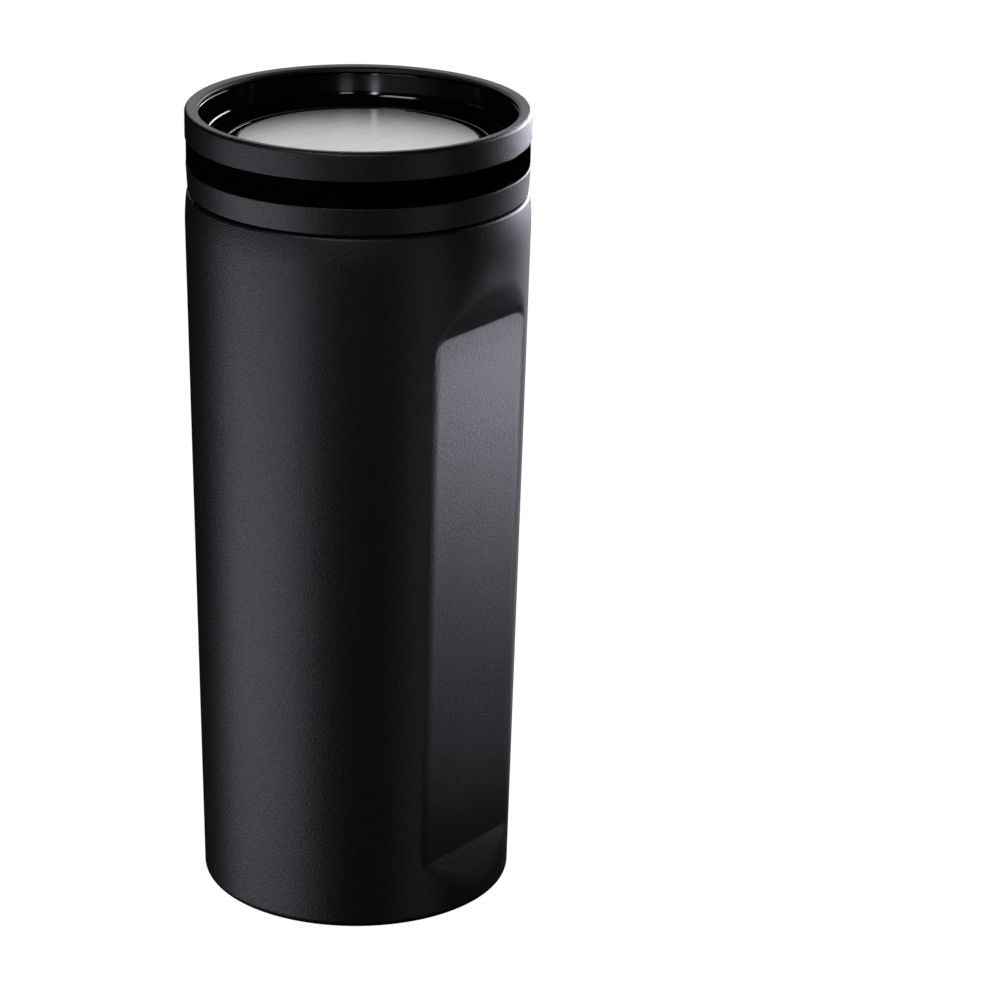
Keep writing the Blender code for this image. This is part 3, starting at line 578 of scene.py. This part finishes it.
def make_shell():
    """The coated shell: curled foot, tapered side with two grip flats, rounded lip and inner wall."""
    angles = shell_angles()
    corner_r = BASE_RADIUS + BASE_FLARE - BASE_CORNER
    lip_r = body_radius(LIP_START) - LIP_ROUNDING
    inner_corner = arc(corner_r, BASE_CORNER_HEIGHT, BASE_CORNER - SHELL_WALL, BASE_CURL_ANGLE, 0, 4)
    middle = BASE_CORNER - SHELL_WALL / 2
    curl_r = corner_r + middle * math.cos(math.radians(BASE_CURL_ANGLE))
    curl_z = BASE_CORNER_HEIGHT + middle * math.sin(math.radians(BASE_CURL_ANGLE))
    curl = arc(curl_r, curl_z, SHELL_WALL / 2, BASE_CURL_ANGLE - 180, BASE_CURL_ANGLE, 6)
    outer_corner = arc(corner_r, BASE_CORNER_HEIGHT, BASE_CORNER, BASE_CURL_ANGLE, 0, 10)
    lip = arc(lip_r, LIP_START, LIP_ROUNDING, 0, 90, 8)
    lip_inner = lip_r - LIP_INSET

    rings = curl[:-1] + outer_corner[:-1]
    for z in side_heights():
        rings.append([(side_radius(z, angle, 0.0), z) for angle in angles])
    rings += lip + [(lip_inner, BODY_TOP), (lip_inner, BODY_TOP - SHELL_WALL)]
    inside = [LIP_START - LIP_INSET, SHOULDER_HEIGHT]
    inside += [GRIP_END_HIGH + BEND_ROOM, GRIP_END_HIGH, GRIP_FLOOR_HIGH]
    inside += [GRIP_FLOOR_LOW, GRIP_END_LOW, GRIP_END_LOW - BEND_ROOM]
    for z in inside:
        rings.append([(side_radius(z, angle, SHELL_WALL), z) for angle in angles])
    rings += list(reversed(inner_corner[1:]))
    shell = ringed("tumbler_shell", rings, angles)
    stand_in(shell, "outer_shell", "flask", COATED)


# ---------------------------------------------------------------- lid outside

RIM_WIDTH = 3.05
RING_WALL = 1.1


def make_upper_ring():
    """Upper trim ring: straight outside, rounded rim, top face that falls to the bowl."""
    outer = radius("upper_trim_ring")
    bottom = low("upper_trim_ring")
    top = high("upper_trim_ring")
    inner_face = outer - RING_WALL
    drop_r = outer - RIM_WIDTH
    rim_bottom = top - 1.4
    crown = 0.1
    corners = [
        (inner_face, bottom, 0.1),
        (outer, bottom, 0.22),
        (outer, top + crown, 0.85),
        (outer - 2.3, top - 0.28, 0.5),
        (drop_r, top - 0.75, 0.2),
        (drop_r, rim_bottom, 0.1),
        (inner_face, rim_bottom),
    ]
    ring = turned("upper_ring", corners)
    stand_in(ring, "upper_trim_ring", "lid", COATED)


def make_lower_ring():
    """Lower trim ring, a little wider at its top."""
    outer = radius("lower_trim_ring")
    bottom = low("lower_trim_ring")
    top = high("lower_trim_ring")
    inner = outer - 1.15
    draft = 0.4
    corners = [
        (inner, bottom, 0.1),
        (outer - draft, bottom, 0.22),
        (outer, top, 0.22),
        (inner, top, 0.1),
    ]
    ring = turned("lower_ring", corners)
    stand_in(ring, "lower_trim_ring", "lid", COATED)


def make_bowl():
    """Gloss drinking bowl with its cove and the button's well, and the waist between the rings in painted
    shade: black with no reflection.
    """
    top = high("lid_bowl")
    bottom = low("lid_bowl")
    waist = radius("lid_bowl")
    floor = high("button_disc") - GAP
    underside = floor - 1.8
    wall = radius("upper_trim_ring") - RIM_WIDTH
    wall_foot = wall - 0.45
    cove = 2.5
    well = radius("button_cap") + 1.5
    well_outer = well + 1.5
    well_low = bottom + 2.6
    skirt_inner = radius("lid_core") + GAP
    skirt_outer = radius("lower_trim_ring") - 1.45
    ring_inner = radius("upper_trim_ring") - RING_WALL - GAP
    waist_low = high("lower_trim_ring") + GAP
    waist_high = low("upper_trim_ring") - GAP
    band_inner = waist - 0.3
    waist_wall = waist - 0.4
    corners = [
        (wall, top, 0.25),
        (wall_foot, floor, cove),
        (well, floor, 0.5),
        (well, well_low, 0.2),
        (well_outer, well_low, 0.2),
        (well_outer, underside),
        (skirt_inner, underside),
        (skirt_inner, bottom, 0.2),
        (skirt_outer, bottom, 0.2),
        (skirt_outer, waist_low),
        (waist_wall, waist_low, 0.15),
        (waist_wall, waist_high, 0.15),
        (ring_inner, waist_high),
        (ring_inner, top, 0.25),
    ]
    bowl = turned("drinking_bowl", corners)
    stand_in(bowl, "lid_bowl", "lid", GLOSS)

    corners = [
        (band_inner, waist_low, 0.1),
        (waist, waist_low, 0.12),
        (waist, waist_high, 0.12),
        (band_inner, waist_high, 0.1),
    ]
    # The waist band is painted shade over the bowl's waist: black with no reflection.
    band = turned("waist_band", corners)
    add_piece(band, "lid", WAIST_SHADE)


def make_button_face():
    """Brushed press disc and the gloss tray that carries it."""
    disc_r = radius("button_disc")
    bottom = low("button_disc")
    top = high("button_disc")
    corners = [(0, bottom), (disc_r, bottom, 0.1), (disc_r, top, 0.22), (0, top)]
    disc = turned("press_disc", corners)
    stand_in(disc, "button_disc", "button", BRUSHED)

    cap_r = radius("button_cap")
    cap_low = low("button_cap")
    cap_high = high("button_cap")
    bed = bottom - GAP
    underside = bed - 1.5
    seat_r = disc_r + GAP
    skirt_inner = cap_r - 1.4
    skirt_low = cap_low + 0.9
    socket_outer = 6.0
    socket = radius("push_rod") - 2.7
    corners = [
        (0, bed),
        (seat_r, bed),
        (seat_r, cap_high, 0.1),
        (cap_r, cap_high, 0.2),
        (cap_r, skirt_low, 0.2),
        (skirt_inner, skirt_low, 0.2),
        (skirt_inner, underside, 0.3),
        (socket_outer, underside, 0.3),
        (socket_outer, cap_low, 0.3),
        (socket, cap_low, 0.1),
        (socket, underside),
        (0, underside),
    ]
    tray = turned("press_tray", corners)
    stand_in(tray, "button_cap", "button", GLOSS)


# ---------------------------------------------------------------- foot


def make_pad():
    """Silicone foot pad with its stepped round recess."""
    outer = radius("base_pad")
    top = high("base_pad")
    dish_depth = 0.6
    dish_r = outer - 10.0
    corners = [
        (0, dish_depth),
        (dish_r - 1.4, dish_depth, 1.2),
        (dish_r, 0.0, 0.8),
        (outer, 0.0, 0.6),
        (outer, top, 0.2),
        (0, top),
    ]
    pad = turned("foot_pad", corners)
    stand_in(pad, "base_pad", "flask", PAD)


# ---------------------------------------------------------------- vessel and its thread

# Starts and spans are degrees round the axis, and a thread's Z is the middle of its lower end.
THREAD_STARTS = 3
THREAD_LEAD = 16.0
THREAD_ROOT_HALF = 1.1
THREAD_TIP_HALF = 0.6
THREAD_RUN_OUT = 7.0
NECK_THREAD_START = 3.75
NECK_THREAD_SPAN = 97.5
NECK_THREAD_Z = 157.67
LID_THREAD_START = 11.25
LID_THREAD_SPAN = 90.0
LID_THREAD_Z = 156.1


def smooth_step(share):
    """Eases a share from 0 to 1."""
    share = min(max(share, 0.0), 1.0)
    return share * share * (3 - 2 * share)


def thread_rows(angles, wall, tip, start, span, first_z, below, above):
    """Rings of a wall with helical ridges. They follow the ridges and level out at below and above."""
    rise = THREAD_LEAD * span / 360.0
    middle_z = first_z + rise / 2
    pitch_angle = 360.0 / THREAD_STARTS
    offsets = [-2.6, -1.8, -1.3, -THREAD_ROOT_HALF, -0.95, -0.72, -THREAD_TIP_HALF, -0.3]
    offsets += [0.0] + [-offset for offset in reversed(offsets)]
    rings = []
    for offset in offsets:
        ring = []
        for angle in angles:
            local = (math.degrees(angle) - start) % pitch_angle
            if local <= span:
                climb = rise * (local / span - 0.5)
                run_in = smooth_step(local / THREAD_RUN_OUT)
                run_out = smooth_step((span - local) / THREAD_RUN_OUT)
                end_share = min(run_in, run_out)
            else:
                gap_share = (local - span) / (pitch_angle - span)
                climb = rise * (0.5 - smooth_step(gap_share))
                end_share = 0.0
            flank = (THREAD_ROOT_HALF - abs(offset)) / (THREAD_ROOT_HALF - THREAD_TIP_HALF)
            size = wall + (tip - wall) * smooth_step(flank) * end_share
            ring.append((size, middle_z + climb + offset))
        rings.append(ring)
    return [(wall, below)] + rings + [(wall, above)]


def make_vessel():
    """Drinking vessel: rounded bottom, tapered side, threaded neck and rim flange."""
    wall = 0.7
    top = high("inner_vessel")
    bottom = low("inner_vessel")
    corner = 10.0
    inset = 5.5
    shoulder_z = 147.0
    neck_z = 153.0
    flange = radius("inner_vessel")
    neck = flange - 1.7
    thread_tip = 35.0
    foot = body_radius(bottom + corner) - inset
    shoulder = body_radius(shoulder_z) - inset

    def side(depth):
        """From the axis out to the neck, moved in by depth."""
        floor = bottom + depth
        start_z = bottom + corner
        lower = arc(foot - corner, start_z, corner - depth, -90, 0, 16)
        steps = 24
        middle_z = [start_z + (shoulder_z - start_z) * k / steps for k in range(1, steps)]
        upper = [(body_radius(z) - inset - depth, z) for z in middle_z]
        bend = [(shoulder - depth, shoulder_z - 1.2), (shoulder - depth + 0.05, shoulder_z - 0.4)]
        bend += [(shoulder - depth + 0.35, shoulder_z + 0.5)]
        neck_wall = neck + wall - depth
        bend += [(neck_wall - 0.35, neck_z - 0.5), (neck_wall - 0.05, neck_z + 0.4)]
        return [(0, floor)] + lower + upper + bend + [(neck_wall, neck_z + 1.2)]

    angles = even_angles(ROUND_STEPS)
    outside = side(0.0)
    flange_low = top - wall
    rim = [
        (neck + wall, flange_low - 0.6),
        (neck + wall + 0.2, flange_low - 0.1),
        (neck + wall + 0.6, flange_low),
        (flange - 0.1, flange_low),
        (flange, flange_low + 0.15),
        (flange, top - 0.15),
        (flange - 0.15, top),
        (neck + 0.5, top),
        (neck + 0.15, top - 0.15),
        (neck, top - 0.5),
        (neck, top - 1.0),
    ]
    thread = thread_rows(
        angles, neck, thread_tip, NECK_THREAD_START, NECK_THREAD_SPAN, NECK_THREAD_Z, neck_z + 1.6, 166.0
    )
    inside = side(wall)
    rings = outside + rim + list(reversed(thread)) + list(reversed(inside))
    vessel = ringed("drinking_vessel", rings, angles)
    stand_in(vessel, "inner_vessel", "flask", STEEL)


# ---------------------------------------------------------------- lid core, seals and valve


def radius_of_rod():
    """The rod's own radius, which is half its collar's."""
    return radius("push_rod") / 2


def make_core():
    """Lid core with its male thread, gasket groove, flange and seat web."""
    skirt = radius("lid_core") - 2.0
    bore = skirt - 2.3
    bottom = low("lid_core")
    top = high("lid_core")
    flange = radius("lid_core")
    seat_r = 24.5
    seat_top = bottom + 2.0
    groove_low = low("lid_gasket") - GAP
    groove_high = high("lid_gasket") + GAP
    groove_r = skirt - 1.1
    flange_low = low("lid_bowl")
    flange_high = flange_low + 2.2
    upstand = skirt - 0.6
    angles = even_angles(ROUND_STEPS)
    thread = thread_rows(
        angles, skirt, skirt + 1.2, LID_THREAD_START, LID_THREAD_SPAN, LID_THREAD_Z, bottom + 0.5, 164.5
    )
    lower = rounded_outline([(seat_r, seat_top, 0.3), (seat_r, bottom, 0.4), (skirt, bottom, 0.4)])[1:]
    upper = rounded_outline(
        [
            (skirt, groove_low, 0.15),
            (groove_r, groove_low, 0.15),
            (groove_r, groove_high, 0.15),
            (skirt, groove_high, 0.15),
            (skirt, flange_low, 0.3),
            (flange, flange_low, 0.2),
            (flange, flange_high, 0.3),
            (upstand, flange_high, 0.4),
            (upstand, top, 0.25),
            (bore, top, 0.25),
            (bore, seat_top, 0.8),
            (seat_r, seat_top, 0.3),
        ]
    )
    core = ringed("lid_core_body", lower + thread + upper, angles)
    stand_in(core, "lid_core", "lid", MOULDED)


def make_spider():
    """The hub that guides the push rod, held in the seat's opening by three arms."""
    hub_r = 8.5
    bore = radius_of_rod() + 0.4
    hub_low = 153.2
    hub_high = 156.5
    arm_low = 153.5
    arm_high = 156.0
    arm_half = 1.5
    arm_end = 25.2
    arm_round = 0.35
    arms = 3
    first_arm = 30.0
    corners = [
        (bore, hub_low, 0.25),
        (hub_r, hub_low, 0.35),
        (hub_r, hub_high, 0.35),
        (bore, hub_high, 0.25),
    ]
    hub = turned("guide_hub", corners, SMALL_STEPS)
    add_piece(hub, "lid", MOULDED)
    section = rounded_outline(
        [
            (-arm_half, arm_low, arm_round),
            (arm_half, arm_low, arm_round),
            (arm_half, arm_high, arm_round),
            (-arm_half, arm_high, arm_round),
        ]
    )
    for k in range(arms):
        shape = bmesh.new()
        ends = []
        for reach in (hub_r - 0.8, arm_end):
            ends.append([shape.verts.new((reach * MM, y * MM, z * MM)) for y, z in section])
        bridge(shape, ends[0], ends[1])
        shape.faces.new(list(reversed(ends[0])))
        shape.faces.new(ends[1])
        turn = Matrix.Rotation(math.radians(first_arm + 360.0 / arms * k), 3, "Z")
        bmesh.ops.rotate(shape, cent=(0, 0, 0), matrix=turn, verts=shape.verts)
        arm = link_mesh(f"guide_arm_{k + 1}", shape)
        add_piece(arm, "lid", MOULDED)


def make_seals():
    """Lid gasket with two soft lips, the flat seal under the bowl, and the valve's seal."""
    inner = 33.8
    body = 34.8
    lip = radius("lid_gasket")
    lip_pitch = 1.8
    bottom = low("lid_gasket")
    top = high("lid_gasket")
    corners = [(inner, bottom, 0.2)]
    for foot in (bottom, bottom + lip_pitch):
        corners += [
            (body, foot, 0.12),
            (lip, foot + 0.85, 0.2),
            (lip - 0.05, foot + 1.2, 0.15),
            (body, foot + 1.35, 0.2),
        ]
    corners += [(body, top, 0.15), (inner, top, 0.2)]
    gasket = turned("lid_gasket_ring", corners)
    stand_in(gasket, "lid_gasket", "lid_carrier", SEAL)

    outer = radius("bowl_seal")
    bottom = low("bowl_seal")
    top = high("bowl_seal")
    inner = outer - 1.7
    corners = [(inner, bottom, 0.3), (outer, bottom, 0.3), (outer, top, 0.3), (inner, top, 0.3)]
    seal = turned("bowl_seal_ring", corners)
    stand_in(seal, "bowl_seal", "lid", SEAL)

    outer = radius("valve_seal")
    bottom = low("valve_seal")
    top = high("valve_seal")
    inner = radius("valve_plate") - 5.7
    corners = [
        (inner, bottom, 0.2),
        (outer - 0.7, bottom, 0.2),
        (outer, bottom + 0.7, 0.3),
        (outer - 0.5, top, 0.25),
        (inner, top, 0.2),
    ]
    seal = turned("valve_seal_ring", corners)
    stand_in(seal, "valve_seal", "button", SEAL)


def make_valve():
    """Valve plate with its raised boss, and the notched nut that holds it on the rod."""
    outer = radius("valve_plate")
    bottom = low("valve_plate")
    top = high("valve_plate")
    rim_top = low("valve_seal") - GAP
    boss = radius("valve_plate") - 6.0
    bore = 2.9
    hollow = radius_of_rod() + 1.0
    corners = [
        (bore, bottom, 0.15),
        (outer - 1.7, bottom, 0.8),
        (outer, bottom + 1.0, 0.6),
        (outer, rim_top, 0.25),
        (boss, rim_top, 0.2),
        (boss, top, 0.3),
        (hollow, top, 0.2),
        (hollow, rim_top, 0.1),
        (bore, rim_top, 0.1),
    ]
    plate = turned("valve_disc", corners)
    stand_in(plate, "valve_plate", "button", MOULDED)

    nut_r = radius("valve_nut")
    nut_low = low("valve_nut")
    nut_high = high("valve_nut")
    notches = 6
    notch_r = 1.2
    notch_centre = nut_r + 0.3
    angles = even_angles(ROUND_STEPS)
    outline = rounded_outline(
        [(bore, nut_low, 0.2), (nut_r, nut_low, 0.6), (nut_r, nut_high, 0.2), (bore, nut_high, 0.2)]
    )
    rings = []
    pitch = math.tau / notches
    for size, z in outline:
        ring = []
        for angle in angles:
            offset = (angle + pitch / 2) % pitch - pitch / 2
            across = notch_centre * math.sin(offset)
            limit = size
            if abs(across) < notch_r:
                limit = notch_centre * math.cos(offset) - math.sqrt(notch_r**2 - across**2)
            ring.append((min(size, limit), z))
        rings.append(ring)
    nut = ringed("notched_nut", rings, angles)
    stand_in(nut, "valve_nut", "button", ACETAL)


def make_rod():
    """Push rod with its collar, and the reduced end that carries the valve."""
    rod = radius_of_rod()
    end = rod - 0.4
    bottom = low("push_rod")
    top = high("push_rod")
    shoulder = 151.2
    collar_low = 166.9
    collar_high = 168.1
    collar = radius("push_rod")
    corners = [
        (0, bottom),
        (end, bottom, 0.35),
        (end, shoulder, 0.1),
        (rod, shoulder, 0.15),
        (rod, collar_low, 0.2),
        (collar, collar_low, 0.2),
        (collar, collar_high, 0.2),
        (rod, collar_high, 0.2),
        (rod, top, 0.4),
        (0, top),
    ]
    rod_piece = turned("valve_rod", corners, SMALL_STEPS)
    stand_in(rod_piece, "push_rod", "button", STEEL)


def make_spring():
    """Return spring: a coil of round wire between the ends of its CAD node."""
    wire = 0.4
    coil = radius("return_spring") - wire
    bottom = low("return_spring") + wire
    top = high("return_spring") - wire
    turns = 5
    count = 240
    sides = 12
    shape = bmesh.new()
    loops = []
    for k in range(count + 1):
        angle = math.tau * turns * k / count
        z = bottom + (top - bottom) * k / count
        out = Vector((math.cos(angle), math.sin(angle), 0.0))
        middle = out * coil + Vector((0, 0, z))
        loop = []
        for side in range(sides):
            swing = math.tau * side / sides
            point = middle + out * (wire * math.cos(swing)) + Vector((0, 0, wire * math.sin(swing)))
            loop.append(shape.verts.new(point * MM))
        loops.append(loop)
    for first, second in zip(loops, loops[1:]):
        bridge(shape, first, second)
    shape.faces.new(list(reversed(loops[0])))
    shape.faces.new(loops[-1])
    spring = link_mesh("coil_spring", shape)
    stand_in(spring, "return_spring", "lid", STEEL)
    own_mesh(spring)


make_shell()
make_upper_ring()
make_lower_ring()
make_bowl()
make_button_face()
make_pad()
make_vessel()
make_core()
make_spider()
make_seals()
make_valve()
make_rod()
make_spring()

for node, material in (
    ("base_plate", STEEL),
    ("reflective_foil", COPPER),
    ("vacuum_seal", SOLDER),
    ("getter", GETTER),
    ("cam_plunger", ACETAL),
    ("click_rotor", ACETAL),
    ("cam_sleeve", ACETAL),
):
    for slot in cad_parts[node].material_slots:
        slot.material = material


# ---------------------------------------------------------------- stage, camera and light

CAMERA_BEARING = 38.5
CAMERA_DISTANCE = 897.3
CAMERA_HEIGHT = 430.3
CAMERA_PITCH = 20.445
CAMERA_YAW = 2.169
CAMERA_ROLL = 0.942
CAMERA_LENS = 144.72
CAMERA_SENSOR = 36.0
CAMERA_REACH = 20000.0
FLOOR_SIZE = 12000.0
FLOOR_GLOW = 1.0
AMBIENT = 0.0
BEAM_RADIUS = 12.0
WATTS_PER_AREA = 4.0
WHITE = (1.0, 1.0, 1.0)
COOL = (0.875, 0.88, 1.0)


def make_camera():
    """A long lens from above the rim, turned so that one grip flat shows at the right."""
    camera = bpy.data.objects.new("camera", bpy.data.cameras.new("camera"))
    camera.data.lens = CAMERA_LENS
    camera.data.sensor_width = CAMERA_SENSOR
    camera.data.clip_end = CAMERA_REACH * MM
    bearing = math.radians(CAMERA_BEARING)
    across = math.sin(bearing) * CAMERA_DISTANCE
    back = math.cos(bearing) * CAMERA_DISTANCE
    place = Vector((across, -back, CAMERA_HEIGHT))
    aim = Matrix.Rotation(bearing - math.radians(CAMERA_YAW), 4, "Z")
    tilt = Matrix.Rotation(math.radians(90.0 - CAMERA_PITCH), 4, "X")
    roll = Matrix.Rotation(math.radians(CAMERA_ROLL), 4, "Z")
    camera.matrix_world = Matrix.Translation(place * MM) @ aim @ tilt @ roll
    bpy.context.scene.collection.objects.link(camera)
    bpy.context.scene.camera = camera


def make_floor():
    """A plain pale floor that leaves the dark coat unlit from below, and is clear from underneath."""
    shape = bmesh.new()
    bmesh.ops.create_grid(shape, x_segments=1, y_segments=1, size=FLOOR_SIZE / 2 * MM)
    floor = link_mesh("floor", shape)
    surface = Surface("pale_floor", (0.05, 0.05, 0.05), 0.9)
    surface.tint(surface.noise(400.0), (0.06, 0.06, 0.06))
    surface.setting("Specular IOR Level", 0.0)
    surface.setting("Emission Color", (1.0, 1.0, 1.0, 1.0))
    surface.setting("Emission Strength", FLOOR_GLOW)
    clear = surface.nodes.new("ShaderNodeBsdfTransparent")
    side = surface.nodes.new("ShaderNodeNewGeometry")
    mix = surface.nodes.new("ShaderNodeMixShader")
    surface.links.new(side.outputs["Backfacing"], mix.inputs["Fac"])
    surface.links.new(surface.shader.outputs[0], mix.inputs[1])
    surface.links.new(clear.outputs[0], mix.inputs[2])
    surface.links.new(mix.outputs[0], surface.nodes["Material Output"].inputs["Surface"])
    floor.data.materials.append(surface.material)
    floor.visible_diffuse = False
    floor.visible_glossy = False
    floor.visible_shadow = False


def make_world():
    """White behind the object, and AMBIENT in the object's own light and reflections."""
    world = bpy.data.worlds.new("studio")
    bpy.context.scene.world = world
    world.use_nodes = True
    nodes = world.node_tree.nodes
    links = world.node_tree.links
    nodes["Background"].inputs["Color"].default_value = (1.0, 1.0, 1.0, 1.0)
    strength = nodes.new("ShaderNodeMapRange")
    strength.inputs["To Min"].default_value = AMBIENT
    strength.inputs["To Max"].default_value = 1.0
    links.new(nodes.new("ShaderNodeLightPath").outputs["Is Camera Ray"], strength.inputs["Value"])
    links.new(strength.outputs["Result"], nodes["Background"].inputs["Strength"])


def place_lamp(name, lamp, bearing, height, distance, aim):
    """Puts a lamp at a bearing right of the camera and points it at the axis at height aim."""
    item = bpy.data.objects.new(name, lamp)
    turn = math.radians(CAMERA_BEARING + bearing)
    place = Vector((math.sin(turn) * distance, -math.cos(turn) * distance, height))
    away = place - Vector((0, 0, aim))
    item.matrix_world = Matrix.Translation(place * MM) @ away.to_track_quat("Z", "Y").to_matrix().to_4x4()
    item.visible_camera = False
    bpy.context.scene.collection.objects.link(item)


def softbox(name, bearing, height, distance, width, tall, glow, aim=100.0, tint=COOL):
    """An area light at a bearing right of the camera, aimed at the axis at height aim.

    glow is its brightness as a surface, where 1 is white and takes WATTS_PER_AREA a square metre.
    """
    lamp = bpy.data.lights.new(name, "AREA")
    lamp.shape = "RECTANGLE"
    lamp.size = width * MM
    lamp.size_y = tall * MM
    lamp.energy = glow * WATTS_PER_AREA * width * MM * tall * MM
    lamp.color = tint
    place_lamp(name, lamp, bearing, height, distance, aim)


def beam(name, bearing, height, distance, aim, half_angle, blend, power):
    """A narrow soft-edged lamp at a bearing right of the camera, aimed at the axis at height aim."""
    lamp = bpy.data.lights.new(name, "SPOT")
    lamp.spot_size = math.radians(2.0 * half_angle)
    lamp.spot_blend = blend
    lamp.shadow_soft_size = BEAM_RADIUS * MM
    lamp.color = COOL
    lamp.energy = power
    place_lamp(name, lamp, bearing, height, distance, aim)


def make_lights():
    """Boxes low on the left for the round side, and others for the edges, rim, disc and grip."""
    softbox("left_side", -84.0, -165.0, 700.0, 430.0, 350.0, 1.8)
    softbox("left_front", -52.0, -165.0, 700.0, 360.0, 350.0, 1.9)
    softbox("front_right", 46.0, -100.0, 700.0, 250.0, 450.0, 0.6)
    softbox("right_fill", 100.0, -100.0, 700.0, 400.0, 450.0, 0.10)
    softbox("right_high", 138.0, 203.0, 300.0, 260.0, 150.0, 11.0, aim=203.0)
    softbox("right_edge", 145.0, 25.0, 300.0, 60.0, 230.0, 1.1, aim=25.0)
    softbox("edge_light", -35.0, 900.0, 800.0, 400.0, 300.0, 4.5)
    softbox("back_wall", 180.0, 700.0, 900.0, 800.0, 900.0, 0.9, tint=WHITE)
    softbox("rim_strip", -12.0, 500.0, 1000.0, 70.0, 500.0, 9.0, aim=190.0)
    softbox("rim_patch", 9.0, 480.0, 1000.0, 150.0, 300.0, 2.5, aim=190.0)
    beam("grip_side", 103.0, 20.0, 420.0, 92.0, 10.5, 0.4, 2.0)


make_camera()
make_floor()
make_world()
make_lights()

bpy.context.scene.view_settings.view_transform = "Standard"
